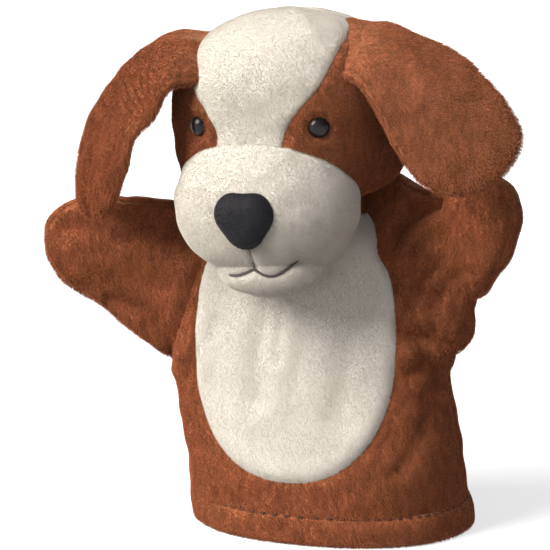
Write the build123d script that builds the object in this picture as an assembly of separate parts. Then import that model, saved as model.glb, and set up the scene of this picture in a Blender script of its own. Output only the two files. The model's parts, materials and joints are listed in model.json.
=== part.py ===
from build123d import *
import os
from math import cos, pi, radians, sin, sqrt

# A plush dog glove puppet, in millimetres. +Z is up, the puppet faces -Y and +X is its own
# left. The origin is the middle of the hand opening, level with the hem's bottom edge.

# Fabric thicknesses
PLUSH = 2.4             # short-pile plush of the body and arms
HEAD_SKIN = 2.2         # plush stretched over the stuffed head
EAR_PLUSH = 3.0         # outer layer of an ear
EAR_LINING = 2.2        # inner layer of an ear

# Glove body: oval sections that lean sideways with height
LEAN = 0.15             # sideways shift per unit of height, towards -X
# height, half width, half depth, how far back the middle of the section lies
GLOVE_SECTIONS = [
    (0.0, 65.0, 42.0, 0.0),
    (22.0, 65.0, 40.8, 0.4),
    (50.0, 64.8, 38.5, 1.2),
    (82.0, 63.0, 34.5, 3.0),
    (112.0, 54.0, 31.0, 5.5),
    (132.0, 44.0, 28.5, 7.0),
    (148.0, 26.0, 25.0, 8.0),
]
GLOVE_HEIGHT = GLOVE_SECTIONS[-1][0]
HEM_FOLD = 14.0         # depth of the turned-up hem
STITCH_COUNT = 72
STITCH_LENGTH = 3.2
STITCH_THICKNESS = 0.8
SEAM_ALLOWANCE = 6.0    # width of the fabric left inside each side seam
PATCH_X = -11.0         # the tummy patch is egg-shaped about this line
PATCH_BOTTOM, PATCH_TOP = 28.0, 134.0
PATCH_SIDE = [(44.0, 68.0), (32.0, 110.0)]      # half width and height, going up

# Neck and finger pocket
NECK = Vector(-LEAN * GLOVE_HEIGHT * 0.95, 8.0, 150.0)   # where the head nods and tilts
SLEEVE_RADIUS = 20.0
SLEEVE_WALL = 2.0
SLEEVE_BOTTOM, SLEEVE_TOP = 141.0, 154.0
POCKET_BORE = 12.0      # radius of the space for the fingers
POCKET_WALL = 2.0
POCKET_BOTTOM, POCKET_TOP = 156.0, 206.0
POCKET_GAP = 0.5        # between the pocket and the stuffing round it

# Head, in its own frame: origin in the middle of the skull, face towards -Y
HEAD_CENTRE = Vector(-21.0, 0.0, 199.0)
HEAD_TURN, HEAD_ROLL = -8.0, -4.5
SKULL = Vector(54.0, 47.0, 45.0)            # half sizes
MUZZLE_CENTRE = Vector(0.0, -34.0, -40.5)
MUZZLE = Vector(44.5, 32.0, 33.0)
CHIN_CENTRE = Vector(0.0, -38.0, -72.0)
CHIN = Vector(19.0, 13.0, 8.5)
NECK_CLEARANCE = 42.0   # radius left free round the neck, below the skull
NECK_CLEARANCE_TOP = 156.0
HEAD_BACK_SEAM = 8.0    # y of the seam from ear to ear
NOSE_WIDTH, NOSE_HEIGHT, NOSE_DEPTH = 31.0, 26.0, 12.0
THREAD = 1.0            # how far the mouth thread stands out
EYE_PLACE = (29.0, -3.0)        # x and z on the skull
EYE_RADIUS = 5.0
SHANK_RADIUS, SHANK_LENGTH = 1.8, 10.0
WASHER_RADIUS, WASHER_THICKNESS, WASHER_DEPTH = 7.0, 1.4, 5.0

# Ears: a leaf that bends downwards, placed by its root, its length and its outer face
EAR_LENGTH = 98.0
EAR_ROOT_WIDTH = 24.0
EAR_WIDTH = 58.0
EAR_BEND = 110.0        # radius of the bend along the ear
EAR_FRAMES = {
    "left": (Vector(22.5, -22.0, 233.0), Vector(0.80, -0.27, -0.53), Vector(0.05, -0.80, 0.60)),
    "right": (Vector(-59.5, -10.0, 233.0), Vector(-0.527, -0.193, -0.80), Vector(-0.69, -0.39, 0.60)),
}

# Arms: flat mittens, each placed by its armhole and two angles
ARM_PROFILE = [(0.0, 33.5), (15.0, 30.5), (30.0, 27.0), (45.0, 24.5), (58.0, 22.0), (70.0, 14.5)]
ARM_LENGTH = 77.0
ARM_FRONT_RATIO, ARM_BACK_RATIO = 0.35, 0.52    # half depth over half height, on each side
ARMHOLE_HALF_HEIGHT, ARMHOLE_HALF_DEPTH = 38.5, 20.5
ARMHOLE_BACK = 2.5      # how far its middle lies behind the arm's seam
ARMHOLE_FLARE = 15.0    # degrees
SEAM_RING_WALL, SEAM_RING_WIDTH = 1.6, 3.0
SEAM_RING_GAP = 0.8     # between the seam ring and the edge of the armhole
# middle of the armhole, how far forward the arm points, how far up it points
ARM_PLACES = {
    "left": (Vector(34.5, 4.0, 110.0), 28.0, 32.0),
    "right": (Vector(-62.5, 4.0, 108.0), 5.0, 19.0),
}


# ---------------------------------------------------------------- shared shapes

def ellipsoid(half, centre=Vector(0, 0, 0), grow=0.0):
    """A solid ellipsoid with half sizes `half`, grown or shrunk evenly by `grow`."""
    ball = scale(Sphere(1.0), by=(half.X + grow, half.Y + grow, half.Z + grow))
    return Location(centre) * ball


def glove_solid(grow=0.0):
    """The body's outer form, grown or shrunk sideways by `grow`."""
    faces = []
    for height, half_width, half_depth, back in GLOVE_SECTIONS:
        middle = Location((-LEAN * height, back, height))
        faces.append(middle * Ellipse(half_width + grow, half_depth + grow))
    return loft(faces)


def seam_plane():
    """The plane of the two side seams, which tips back as the body does."""
    rise = GLOVE_HEIGHT
    back = GLOVE_SECTIONS[-1][3]
    return Plane(origin=(0, 0, 0), x_dir=(1, 0, 0), z_dir=(0, -rise, back))


def head_frame():
    """Where the head's own frame sits on the puppet."""
    return Location(HEAD_CENTRE) * Rotation(0, 0, HEAD_TURN) * Rotation(0, HEAD_ROLL, 0)


def ear_frame(side):
    """The ear's frame: X along its length, Z out of its outer face."""
    root, along, outward = EAR_FRAMES[side]
    return Plane(origin=root, x_dir=along, z_dir=outward - along * outward.dot(along))


def arm_frame(side):
    """The arm's frame: X along the arm, Z up its flat face, the body's back at +Y."""
    armhole, forward, up = ARM_PLACES[side]
    sign = 1 if side == "left" else -1
    f, u = radians(forward), radians(up)
    along = Vector(sign * cos(u) * cos(f), -cos(u) * sin(f), sin(u))
    upward = Vector(-sign * sin(u) * cos(f), sin(u) * sin(f), cos(u))
    return Plane(origin=armhole, x_dir=along, z_dir=upward)


# ---------------------------------------------------------------- glove

def armhole_oval(side, inset, reach, flare=0.0):
    """An oval block standing across an arm at its armhole, smaller by `inset`.

    Its outer part opens by `flare` degrees, to leave the arm room to swing.
    """
    oval = Ellipse(ARMHOLE_HALF_HEIGHT - inset, ARMHOLE_HALF_DEPTH - inset)
    block = extrude(oval, amount=-reach) + extrude(oval, amount=reach, taper=-flare)
    back = ARMHOLE_BACK if side == "left" else -ARMHOLE_BACK
    return arm_frame(side).location * Location((0, back, 0)) * Rotation(0, 90, 0) * block


def outer_half(solid, side):
    """The part of a solid beyond the glove's middle, on one side of the puppet."""
    reach = 400.0
    sign = 1 if side == "left" else -1
    middle = -LEAN * GLOVE_HEIGHT * 0.5
    return solid & (Location((middle + sign * reach / 2, 0, 0)) * Box(reach, reach, reach))


def patch_prism():
    """The tummy patch's egg-shaped outline, carried forwards through the front panel."""
    with BuildSketch(Plane.XZ) as sketch:
        with BuildLine():
            side = Spline((0, PATCH_BOTTOM), *PATCH_SIDE, (0, PATCH_TOP), tangents=[(1, 0), (-1, 0)])
            mirror(side, about=Plane.YZ)
        make_face()
    return Location((PATCH_X, 0, 0)) * extrude(sketch.sketch, amount=100)


def glove_parts():
    """Front and back panels, tummy patch, hem, stitches and seam allowances."""
    outside = glove_solid()
    inside = glove_solid(-PLUSH)
    wall = outside - inside
    for side in ARM_PLACES:
        wall = wall - outer_half(armhole_oval(side, 0.0, 50.0, ARMHOLE_FLARE), side)

    front = split(wall, bisect_by=seam_plane(), keep=Keep.TOP)
    back = split(wall, bisect_by=seam_plane(), keep=Keep.BOTTOM)

    prism = patch_prism()
    patch = front & prism
    front = front - prism

    fold_space = Box(200, 200, HEM_FOLD, align=(Align.CENTER, Align.CENTER, Align.MIN))
    hem = (inside - glove_solid(-2 * PLUSH)) & fold_space

    fins = (inside - glove_solid(-PLUSH - SEAM_ALLOWANCE)) - fold_space
    slab = seam_plane().location * Box(400, 400, PLUSH)
    fins = fins & slab & (Location((0, 0, 40)) * Box(400, 400, 60))

    parts = {"glove_front": front, "glove_back": back, "tummy_patch": patch, "hem_fold": hem}
    for side in ARM_PLACES:
        parts[f"side_seam_{side}"] = outer_half(fins, side)
    parts["hem_stitches"] = hem_stitches(outside)
    return parts


def hem_stitches(outside):
    """A row of short stitches round the top of the hem, lying on the plush."""
    skin = glove_solid(STITCH_THICKNESS) - outside
    _, half_width, half_depth, _ = GLOVE_SECTIONS[0]
    dashes = []
    for i in range(STITCH_COUNT):
        angle = 2 * pi * (i + 0.5) / STITCH_COUNT
        x, y = half_width * cos(angle), half_depth * sin(angle)
        heading = Vector(-half_width * sin(angle), half_depth * cos(angle), 0)
        spot = Plane(origin=(x - LEAN * HEM_FOLD, y, HEM_FOLD), x_dir=heading, z_dir=(0, 0, 1))
        dashes.append(skin & (spot.location * Box(STITCH_LENGTH, 8, STITCH_THICKNESS)))
    return Compound(children=[dash.solids()[0] for dash in dashes])


# ---------------------------------------------------------------- neck and pocket

def neck_sleeve():
    """The short tube of plush between the glove and the head."""
    height = SLEEVE_TOP - SLEEVE_BOTTOM
    bottom = (Align.CENTER, Align.CENTER, Align.MIN)
    tube = Cylinder(SLEEVE_RADIUS, height, align=bottom)
    tube -= Cylinder(SLEEVE_RADIUS - SLEEVE_WALL, height, align=bottom)
    return Location((NECK.X, NECK.Y, SLEEVE_BOTTOM)) * tube


def pocket_form(radius, crown):
    """A round-topped plug the size of the finger pocket."""
    height = POCKET_TOP - POCKET_BOTTOM
    plug = Cylinder(radius, height, align=(Align.CENTER, Align.CENTER, Align.MIN))
    plug += Location((0, 0, height)) * scale(Sphere(1.0), by=(radius, radius, crown))
    return Location((NECK.X, NECK.Y, POCKET_BOTTOM)) * plug


def finger_pocket():
    """The lining tube that takes one or two fingers, closed at its top."""
    outer_radius = POCKET_BORE + POCKET_WALL
    return pocket_form(outer_radius, 7.0) - pocket_form(POCKET_BORE, 5.0)


# ---------------------------------------------------------------- head

def neck_clearance():
    """The space under the head that the neck and the chest move in, in the head's frame."""
    foot = NECK_CLEARANCE_TOP - 80
    align = (Align.CENTER, Align.CENTER, Align.MIN)
    below = Location((NECK.X, NECK.Y, foot)) * Cylinder(NECK_CLEARANCE, 80, align=align)
    throat = Location((NECK.X, NECK.Y, foot)) * Cylinder(SLEEVE_RADIUS + 4, 88, align=align)
    return head_frame().inverse() * (below + throat)


def blaze_prism():
    """The outline of the white forehead stripe, carried through the face."""
    with BuildSketch(Plane.XZ) as sketch:
        with BuildLine():
            right = Spline((-34, 50), (-35, 30), (-32, 14), (-16, -4))
            left = Spline((34, 50), (35, 30), (32, 14), (16, -4))
            Polyline(right @ 1, (-16, -40), (16, -40), left @ 1)
            Line(right @ 0, left @ 0)
        make_face()
    return extrude(sketch.sketch, amount=100, both=True)


def nose_pad():
    """A padded nose: a rounded triangle, point down, lying on the muzzle."""
    half = NOSE_WIDTH / 2
    corner = 7.0
    drop = NOSE_HEIGHT - 2 * corner
    with BuildSketch() as sketch:
        with Locations((-half + corner, drop / 2), (half - corner, drop / 2), (0, -drop / 2)):
            Circle(corner)
        make_hull()
    pad = extrude(sketch.sketch, amount=NOSE_DEPTH)
    pad = fillet(pad.faces().sort_by(Axis.Z)[-1].edges(), radius=4.0)
    front = MUZZLE_CENTRE.Y - MUZZLE.Y
    start = front + NOSE_DEPTH - 5.0
    placed = Location((0, start, MUZZLE_CENTRE.Z)) * Rotation(90, 0, 0) * pad
    return placed - ellipsoid(MUZZLE, MUZZLE_CENTRE)


def mouth_stitching():
    """The philtrum and the two lobes of the mouth, in thread lying on the muzzle."""
    top, middle, width = -54.2, -64.5, 1.6
    layer = ellipsoid(MUZZLE, MUZZLE_CENTRE, THREAD) - ellipsoid(MUZZLE, MUZZLE_CENTRE)
    layer = layer & (Location((0, MUZZLE_CENTRE.Y - 50, -60)) * Box(100, 100, 100))
    line = Polyline((0, top), (0, middle))
    strokes = trace(line, width)
    for sign in (-1, 1):
        lobe = ThreePointArc((0, middle), (sign * 10, middle - 3.5), (sign * 19, middle + 0.5))
        strokes += trace(lobe, width)
    block = Rotation(90, 0, 0) * extrude(strokes, amount=120)
    return layer & block


def eye_plane(side):
    """A plane on the skull at the eye, facing out of the head."""
    sign = 1 if side == "left" else -1
    x, z = sign * EYE_PLACE[0], EYE_PLACE[1]
    y = -SKULL.Y * sqrt(1 - (x / SKULL.X) ** 2 - (z / SKULL.Z) ** 2)
    out = Vector(x / SKULL.X ** 2, y / SKULL.Y ** 2, z / SKULL.Z ** 2)
    return Plane(origin=(x, y, z), z_dir=out)


def eye(side):
    """A domed safety eye on its shank."""
    dome = scale(Sphere(EYE_RADIUS), by=(1, 1, 0.8))
    dome = dome & (Location((0, 0, EYE_RADIUS)) * Box(20, 20, 2 * EYE_RADIUS))
    top = (Align.CENTER, Align.CENTER, Align.MAX)
    shank = Cylinder(SHANK_RADIUS, SHANK_LENGTH, align=top)
    return eye_plane(side).location * Location((0, 0, 0.4)) * (dome + shank)


def eye_washer(side):
    """The washer that locks the eye's shank inside the head."""
    disc = Cylinder(WASHER_RADIUS, WASHER_THICKNESS) - Cylinder(SHANK_RADIUS + 0.05, 5)
    return eye_plane(side).location * Location((0, 0, -WASHER_DEPTH)) * disc


def eye_cutter(side):
    """The room that the shank and the washer need inside the head."""
    room = Cylinder(SHANK_RADIUS + 0.05, 40)
    room += Location((0, 0, -WASHER_DEPTH)) * Cylinder(WASHER_RADIUS + 0.1, WASHER_THICKNESS + 0.2)
    room += Location((0, 0, 0.4 + EYE_RADIUS)) * Cylinder(EYE_RADIUS, 2 * EYE_RADIUS)
    return eye_plane(side).location * room


def head_parts():
    """Skin panels, stuffing, nose, mouth and eyes, placed on the puppet."""
    clearance = neck_clearance()
    skull = ellipsoid(SKULL)
    muzzle = ellipsoid(MUZZLE, MUZZLE_CENTRE)
    core = ellipsoid(SKULL, grow=-HEAD_SKIN) + ellipsoid(MUZZLE, MUZZLE_CENTRE, -HEAD_SKIN)
    eye_rooms = [eye_cutter(side) for side in ("left", "right")]

    skin = skull - core - muzzle - clearance
    for room in eye_rooms:
        skin = skin - room
    behind = Location((0, HEAD_BACK_SEAM + 100, 0)) * Box(200, 200, 200)
    face = skin - behind
    blaze = blaze_prism()
    cheeks = face - blaze
    right_half = Location((-100, 0, 0)) * Box(200, 200, 200)

    # the pocket's hole is grown round, so it stays clear as the head turns
    pocket_hole = pocket_form(POCKET_BORE + POCKET_WALL + POCKET_GAP, 7.0 + POCKET_GAP)
    stuffing = core - clearance - head_frame().inverse() * pocket_hole
    for room in eye_rooms:
        stuffing = stuffing - room

    parts = {
        "head_back": skin & behind,
        "forehead_blaze": face & blaze,
        "face_left": cheeks - right_half,
        "face_right": cheeks & right_half,
        "muzzle_skin": muzzle - core - clearance,
        "chin_patch": ellipsoid(CHIN, CHIN_CENTRE) - muzzle - clearance,
        "head_stuffing": stuffing,
        "nose": nose_pad(),
        "mouth_stitching": mouth_stitching(),
    }
    for side in ("left", "right"):
        parts[f"eye_{side}"] = eye(side)
        parts[f"eye_washer_{side}"] = eye_washer(side)
    return {name: head_frame() * part for name, part in parts.items()}


# ---------------------------------------------------------------- ears

def ear_outline():
    """The leaf shape of an ear, its root at x = 0."""
    root, wide = EAR_ROOT_WIDTH / 2, EAR_WIDTH / 2
    with BuildSketch() as sketch:
        with BuildLine():
            upper = Spline((0, root), (EAR_LENGTH * 0.55, wide), (EAR_LENGTH, 0),
                           tangents=[(1, 0.45), (0, -1)])
            mirror(upper, about=Plane.XZ)
            Line((0, root), (0, -root))
        make_face()
    return sketch.sketch


def ear_layer(side, inner, outer):
    """One layer of an ear, between two distances inside and outside of its middle."""
    drop = sqrt(EAR_BEND ** 2 - (EAR_LENGTH / 2) ** 2)
    shell = Cylinder(EAR_BEND + outer, 200) - Cylinder(EAR_BEND + inner, 200)
    shell = Location((EAR_LENGTH / 2, 0, -drop)) * Rotation(90, 0, 0) * shell
    leaf = extrude(ear_outline(), amount=60, both=True)
    return ear_frame(side).location * (shell & leaf & (Location((50, 0, 30)) * Box(200, 200, 90)))


# ---------------------------------------------------------------- arms

def arm_half(ratio, back, inset=0.0):
    """Half of an arm's form on one side of its seam, shrunk by `inset`."""
    profile = [(x, half - inset) for x, half in ARM_PROFILE]
    with BuildSketch(Plane.XZ) as sketch:
        with BuildLine():
            edge = Spline(*profile, (ARM_LENGTH - inset, 0), tangents=[(1, -0.2), (0, -1)])
            Polyline(edge @ 1, (0, 0), edge @ 0)
        make_face()
    half_turn = revolve(sketch.sketch, Axis.X, 180)
    deepest = ARM_PROFILE[0][1]
    squeeze = (deepest * ratio - inset) / (deepest - inset)
    form = scale(half_turn, by=(1, squeeze, 1))
    if (form.center().Y > 0) != back:
        form = mirror(form, about=Plane.XZ)
    return form


def arm_parts(side):
    """The front and back panels of one arm, hollow and open at the armhole."""
    parts = {}
    for name, ratio in (("front", ARM_FRONT_RATIO), ("back", ARM_BACK_RATIO)):
        # the right arm's frame has the body's front at +Y
        at_plus_y = (name == "back") == (side == "left")
        shell = arm_half(ratio, at_plus_y) - arm_half(ratio, at_plus_y, PLUSH)
        parts[f"arm_{side}_{name}"] = arm_frame(side).location * shell
    return parts


def armhole_seam(side):
    """The oval seam where the sleeve meets the glove."""
    thickness = SEAM_RING_WIDTH / 2
    outer = armhole_oval(side, SEAM_RING_GAP, thickness)
    return outer - armhole_oval(side, SEAM_RING_GAP + SEAM_RING_WALL, thickness)


# ---------------------------------------------------------------- the puppet

def puppet():
    """Every sub-part of the puppet by its node's name."""
    parts = glove_parts()
    parts["neck_sleeve"] = neck_sleeve()
    parts["finger_pocket"] = finger_pocket()
    parts.update(head_parts())
    for side in ("left", "right"):
        parts[f"ear_{side}_outer"] = ear_layer(side, 0.0, EAR_PLUSH)
        parts[f"ear_{side}_lining"] = ear_layer(side, -EAR_LINING, 0.0)
        parts[f"armhole_seam_{side}"] = armhole_seam(side)
        parts.update(arm_parts(side))
    return parts


def main():
    os.makedirs("parts", exist_ok=True)
    for name, part in puppet().items():
        export_step(part, f"parts/{name}.step")


main()
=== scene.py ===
"""A plush dog glove puppet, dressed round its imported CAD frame.

Lengths in this script are millimetres; they are turned into metres when a mesh is made.
+Z is up, the puppet faces -Y and +X is its own left.
"""

from functools import partial
import json
import math

import bmesh
import bpy
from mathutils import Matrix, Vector
import numpy as np
import openvdb


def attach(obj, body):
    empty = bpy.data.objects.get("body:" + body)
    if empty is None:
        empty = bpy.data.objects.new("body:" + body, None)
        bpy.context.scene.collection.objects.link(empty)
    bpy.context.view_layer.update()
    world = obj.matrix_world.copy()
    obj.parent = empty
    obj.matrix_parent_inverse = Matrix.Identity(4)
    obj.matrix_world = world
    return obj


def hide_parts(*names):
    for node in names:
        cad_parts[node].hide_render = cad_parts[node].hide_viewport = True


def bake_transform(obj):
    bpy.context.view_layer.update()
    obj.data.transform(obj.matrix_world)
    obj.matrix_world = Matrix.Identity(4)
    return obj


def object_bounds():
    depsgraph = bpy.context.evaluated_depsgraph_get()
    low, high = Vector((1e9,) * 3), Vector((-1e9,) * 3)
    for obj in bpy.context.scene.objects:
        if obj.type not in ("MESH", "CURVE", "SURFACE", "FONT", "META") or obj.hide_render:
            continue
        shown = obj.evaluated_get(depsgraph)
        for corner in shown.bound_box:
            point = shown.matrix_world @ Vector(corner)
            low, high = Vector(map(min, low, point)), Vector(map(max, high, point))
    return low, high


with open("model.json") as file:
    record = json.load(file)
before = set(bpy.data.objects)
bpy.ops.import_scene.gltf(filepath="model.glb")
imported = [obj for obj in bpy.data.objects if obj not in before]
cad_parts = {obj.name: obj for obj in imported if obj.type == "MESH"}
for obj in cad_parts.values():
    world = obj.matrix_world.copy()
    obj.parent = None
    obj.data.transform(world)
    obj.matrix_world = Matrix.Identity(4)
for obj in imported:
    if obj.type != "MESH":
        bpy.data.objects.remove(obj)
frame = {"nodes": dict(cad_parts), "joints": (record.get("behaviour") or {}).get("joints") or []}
cad_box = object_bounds()

MM = 0.001
STEP = 1.35  # spacing of the surfaces' points
FABRIC = 2.0  # thickness of the plush's backing
PILE, WHITE_PILE = 1.4, 0.7  # length of the pile
PILE_PER_MM2 = 9.0
STRANDS_PER_PARENT = 6
SIDES = {"left": 1.0, "right": -1.0}


# ---- places and directions

def unit(vector):
    """A direction, one long."""
    vector = np.asarray(vector, float)
    return vector / np.linalg.norm(vector)


def units(rows):
    """Each row as a direction, one long."""
    return rows / np.linalg.norm(rows, axis=1, keepdims=True)


def joint(name):
    """A joint's pivot, in millimetres, and its axis."""
    found = next(j for j in frame["joints"] if j["name"] == name)
    return np.array(found["pos_m"]) / MM, np.array(found["axis"])


class Axes:
    """A local frame: an origin and three unit axes, from the directions of X and Z."""

    def __init__(self, origin, x_axis, z_axis):
        x = unit(x_axis)
        z = unit(np.asarray(z_axis, float) - x * np.dot(x, z_axis))
        self.origin = np.asarray(origin, float)
        self.axes = np.array([x, np.cross(z, x), z])

    def local(self, points):
        return (points - self.origin) @ self.axes.T

    def world(self, points):
        return np.asarray(points, float) @ self.axes + self.origin


def arm_axes(side):
    """X along the arm, Z up its flat face; +Y is the puppet's back on the left arm."""
    pivot, lift_axis = joint(f"arm_{side}_raise")
    _, swing_axis = joint(f"arm_{side}_swing")
    up = swing_axis * SIDES[side]
    return Axes(pivot, np.cross(lift_axis, up), up)


def head_axes():
    """The head's own frame, turned and tipped a little: the face is towards -Y."""
    turn, roll = math.radians(-8.0), math.radians(-4.5)
    x_axis = (math.cos(turn) * math.cos(roll), math.sin(turn) * math.cos(roll), -math.sin(roll))
    z_axis = (math.cos(turn) * math.sin(roll), math.sin(turn) * math.sin(roll), math.cos(roll))
    return Axes((-21.0, 0.0, 199.0), x_axis, z_axis)


ARM = {side: arm_axes(side) for side in SIDES}
HEAD = head_axes()
NECK, _ = joint("head_nod")


# ---- fields and shapes

def curve_through(*pairs):
    """A smooth function through (place, value) pairs, level beyond its ends."""
    places = np.array([place for place, _ in pairs], float)
    values = np.array([value for _, value in pairs], float)
    slopes = np.gradient(values, places, axis=0)

    def smooth(x):
        x = np.clip(x, places[0], places[-1])
        i = np.clip(np.searchsorted(places, x) - 1, 0, len(places) - 2)
        width = places[i + 1] - places[i]
        t = (x - places[i]) / width
        if values.ndim > 1:
            t, width = t[:, None], width[:, None]
        return ((2 * t**3 - 3 * t**2 + 1) * values[i] + (t**3 - 2 * t**2 + t) * width * slopes[i]
                + (3 * t**2 - 2 * t**3) * values[i + 1] + (t**3 - t**2) * width * slopes[i + 1])
    return smooth


def oval(offsets, halves, power=2.0):
    """Nearly the distance to an ellipsoid with these half sizes; a power over 2 is boxier."""
    shares = [np.abs(offset) / half for offset, half in zip(offsets, halves)]
    level = sum(share**power for share in shares) ** (1 / power)
    steep = sum((share ** (power - 1) / half) ** 2 for share, half in zip(shares, halves)) ** 0.5
    return (level - 1) * np.maximum(level, 1e-6) ** (power - 1) / np.maximum(steep, 1e-6)


def ball(points, centre, halves, power=2.0):
    """An ellipsoid's field."""
    return oval(list((points - np.asarray(centre, float)).T), halves, power)


def join(a, b, blend):
    """The union of two fields, with a fillet."""
    share = np.clip(0.5 + 0.5 * (b - a) / blend, 0, 1)
    return b * (1 - share) + a * share - blend * share * (1 - share)


def ridge(distance, width):
    """1 on a line and nothing beyond about twice its width."""
    return np.exp(-((distance / width) ** 2))


def path_distance(points, path):
    """Distance from each point to a chain of straight runs."""
    best = np.full(len(points), 1e9)
    for a, b in zip(np.array(path[:-1], float), np.array(path[1:], float)):
        share = np.clip((points - a) @ (b - a) / np.dot(b - a, b - a), 0, 1)
        best = np.minimum(best, np.linalg.norm(points - a - share[:, None] * (b - a), axis=1))
    return best


def ripple(points, size, seed):
    """Smooth noise, mostly between -1 and 1, with lumps of about `size` millimetres."""
    rng = np.random.default_rng(seed)
    total = np.zeros(len(points))
    waves = 16
    for _ in range(waves):
        wave = unit(rng.normal(size=3)) * math.pi / size * rng.uniform(0.6, 1.4)
        total += np.sin(points @ wave + rng.uniform(0, 2 * math.pi))
    return total / math.sqrt(waves / 2) * 0.7


# ---- surfaces and meshes

DOWN = (0.0, 0.0, -0.65)  # the ways that pile is brushed
FORWARDS = (0.0, -0.42, -0.42)


def slope(field, points, reach=0.4):
    """A field's gradient."""
    out = np.empty_like(points)
    for axis in range(3):
        shift = np.zeros(3)
        shift[axis] = reach
        out[:, axis] = (field(points + shift) - field(points - shift)) / (2 * reach)
    return out


def normals_of(field, points):
    """The way out of a field's surface."""
    steep = slope(field, points)
    return steep / np.maximum(np.linalg.norm(steep, axis=1, keepdims=True), 1e-9)


def surface(field, low, high):
    """The points and triangles where a field is zero, with each point exactly on it."""
    low = np.array(low, float)
    counts = np.ceil((np.array(high) - low) / STEP).astype(int) + 1
    xs, ys, zs = [low[i] + STEP * np.arange(counts[i]) for i in range(3)]
    grid_y, grid_z = np.meshgrid(ys, zs, indexing="ij")
    values = np.empty(counts, np.float32)
    for i, x in enumerate(xs):
        layer = np.stack([np.full(grid_y.size, x), grid_y.ravel(), grid_z.ravel()], 1)
        values[i] = field(layer).reshape(counts[1:])
    grid = openvdb.FloatGrid(4 * STEP)
    grid.copyFromArray(np.clip(values, -4 * STEP, 4 * STEP))
    corners, quads = grid.convertToQuads(0.0)
    points = np.array(corners, float) * STEP + low
    for _ in range(3):
        steep = slope(field, points)
        points -= steep * (field(points) / np.maximum((steep**2).sum(1), 1e-6))[:, None]
    quads = np.array(quads, int)
    triangles = np.concatenate([quads[:, [0, 1, 2]], quads[:, [0, 2, 3]]])
    a, b, c = (points[triangles[:, i]] for i in range(3))
    out = np.einsum("ij,ij->i", np.cross(b - a, c - a), slope(field, (a + b + c) / 3))
    return points, triangles if np.median(out) > 0 else triangles[:, ::-1]


def cut(points, triangles, region):
    """Cuts a surface along region = 0: the points, the triangles inside and those outside."""
    values = region(points)
    values = np.where(np.abs(values) < 0.12 * STEP, 0.0, values)
    side = np.sign(values)
    ends = [(triangles[:, i], triangles[:, (i + 1) % 3]) for i in range(3)]
    crossed = [side[a] * side[b] < 0 for a, b in ends]
    edges = np.concatenate([np.sort(np.stack(end, 1)[hit], 1) for end, hit in zip(ends, crossed)])
    edges = np.unique(edges, axis=0)
    share = (values[edges[:, 0]] / (values[edges[:, 0]] - values[edges[:, 1]]))[:, None]
    number = {tuple(edge): len(points) + k for k, edge in enumerate(edges)}
    points = np.concatenate([points, points[edges[:, 0]] * (1 - share) + points[edges[:, 1]] * share])
    side = np.concatenate([side, np.zeros(len(edges))])
    is_cut = crossed[0] | crossed[1] | crossed[2]
    whole = triangles[~is_cut]
    is_inside = side[whole].sum(1) < 0
    parts = {-1: [whole[is_inside]], 1: [whole[~is_inside]]}
    for triangle in triangles[is_cut]:
        ring = []
        for a, b in zip(triangle, np.roll(triangle, -1)):
            ring.append(a)
            if side[a] * side[b] < 0:
                ring.append(number[(min(a, b), max(a, b))])
        for sign, found in parts.items():
            fan = [v for v in ring if side[v] in (sign, 0)]
            found.append(np.array([[fan[0], fan[k], fan[k + 1]] for k in range(1, len(fan) - 1)]))
    return points, np.concatenate(parts[-1]), np.concatenate(parts[1])


def cut_all(points, triangles, regions):
    """Cuts a surface into named regions in turn. What none of them takes is left out."""
    found = {}
    for name, region in regions.items():
        points, found[name], triangles = cut(points, triangles, region)
    return points, found


def make_mesh(name, points, faces, material):
    """A smooth-shaded object from points in millimetres."""
    mesh = bpy.data.meshes.new(name)
    faces = faces.tolist() if isinstance(faces, np.ndarray) else faces
    mesh.from_pydata((np.asarray(points) * MM).tolist(), [], faces)
    mesh.polygons.foreach_set("use_smooth", [True] * len(mesh.polygons))
    mesh.materials.append(material)
    obj = bpy.data.objects.new(name, mesh)
    bpy.context.scene.collection.objects.link(obj)
    return obj


def grid_faces(rows, columns, first=0, flip=False, around=True, ring=False):
    """Quads between rows of points. `around` closes each row, `ring` joins the last to the first."""
    faces = []
    for r in range(rows if ring else rows - 1):
        low, high = first + r * columns, first + (r + 1) % rows * columns
        for i in range(columns if around else columns - 1):
            j = (i + 1) % columns
            quad = [low + i, low + j, high + j, high + i]
            faces.append([quad[0], *quad[:0:-1]] if flip else quad)
    return faces


def clean(obj, weld=None):
    """Drops bad faces and loose points, welds near ones, and turns every face outwards."""
    obj.data.validate()
    work = bmesh.new()
    work.from_mesh(obj.data)
    loose = [v for v in work.verts if not v.link_faces]
    bmesh.ops.delete(work, geom=loose, context="VERTS")
    if weld:
        bmesh.ops.remove_doubles(work, verts=work.verts, dist=weld * MM)
    bmesh.ops.recalc_face_normals(work, faces=work.faces)
    work.to_mesh(obj.data)
    work.free()


def declare(obj, body, node):
    """Says which body a piece rides on, and which CAD node it stands for."""
    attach(obj, body)
    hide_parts(node)


def panel(name, points, triangles, material, comb):
    """One panel of fabric: an outer face with its pile brushed one way, thickened inwards."""
    kept, index = np.unique(triangles, return_inverse=True)
    obj = make_mesh(name, points[kept], index.reshape(-1, 3), material)
    if material is WHITE:
        add_pile(obj, WHITE_PILE, comb, clump=0.0, crowding=1.6, loose=0.03)
    else:
        add_pile(obj, PILE, comb)
    thicken = obj.modifiers.new("thickness", "SOLIDIFY")
    thicken.thickness = FABRIC * MM
    thicken.offset = -1
    return obj


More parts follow.
